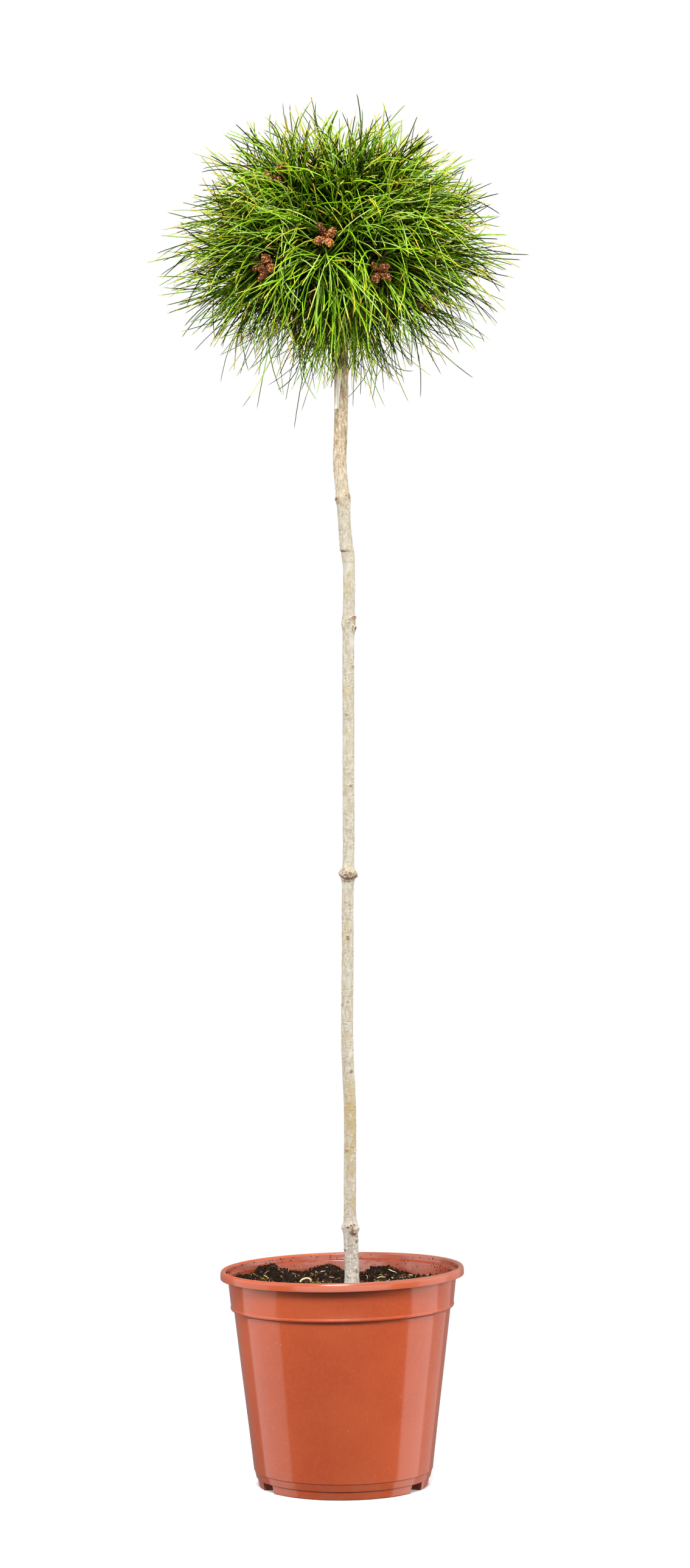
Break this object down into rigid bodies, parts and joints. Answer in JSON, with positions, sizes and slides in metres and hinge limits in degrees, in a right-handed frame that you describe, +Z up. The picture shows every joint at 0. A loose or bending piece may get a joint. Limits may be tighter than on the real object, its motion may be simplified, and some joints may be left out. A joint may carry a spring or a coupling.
{
  "type": "potted pine",
  "caption": "Pine grown as a standard: a dense flattened globe of long needles on a bare slim stem, in a round plastic nursery pot filled with soil.",
  "frame": {"origin": "middle of the pot's flat underside, on the surface that the pot stands on", "axes": "+Z up along the stem, -Y towards the side that the picture shows, +X to the right in the picture"},
  "size_m": [0.3772, 0.3566, 1.4816],
  "materials": {
    "terracotta_plastic": "gloss",
    "peat": "matte",
    "bark": "matte",
    "bough_bark": "matte",
    "needles": "matte"
  },
  "bodies": {
    "root": {"pot": "terracotta_plastic", "soil": "peat", "trunk": "bark", "bough_upper_left": "bough_bark", "bough_upper_front": "bough_bark", "bough_upper_right": "bough_bark", "bough_upper_back_right": "bough_bark", "bough_upper_back_left": "bough_bark", "bough_lower_front_right": "bough_bark", "bough_lower_front_left": "bough_bark", "bough_lower_left": "bough_bark", "bough_lower_back_left": "bough_bark", "bough_lower_back_right": "bough_bark", "bough_lower_right": "bough_bark", "needles_top": "needles", "needles_upper_left": "needles", "needles_upper_front": "needles", "needles_upper_right": "needles", "needles_upper_back_right": "needles", "needles_upper_back_left": "needles", "needles_lower_front_right": "needles", "needles_lower_front_left": "needles", "needles_lower_left": "needles", "needles_lower_back_left": "needles", "needles_lower_back_right": "needles", "needles_lower_right": "needles"}
  },
  "joints": []
}
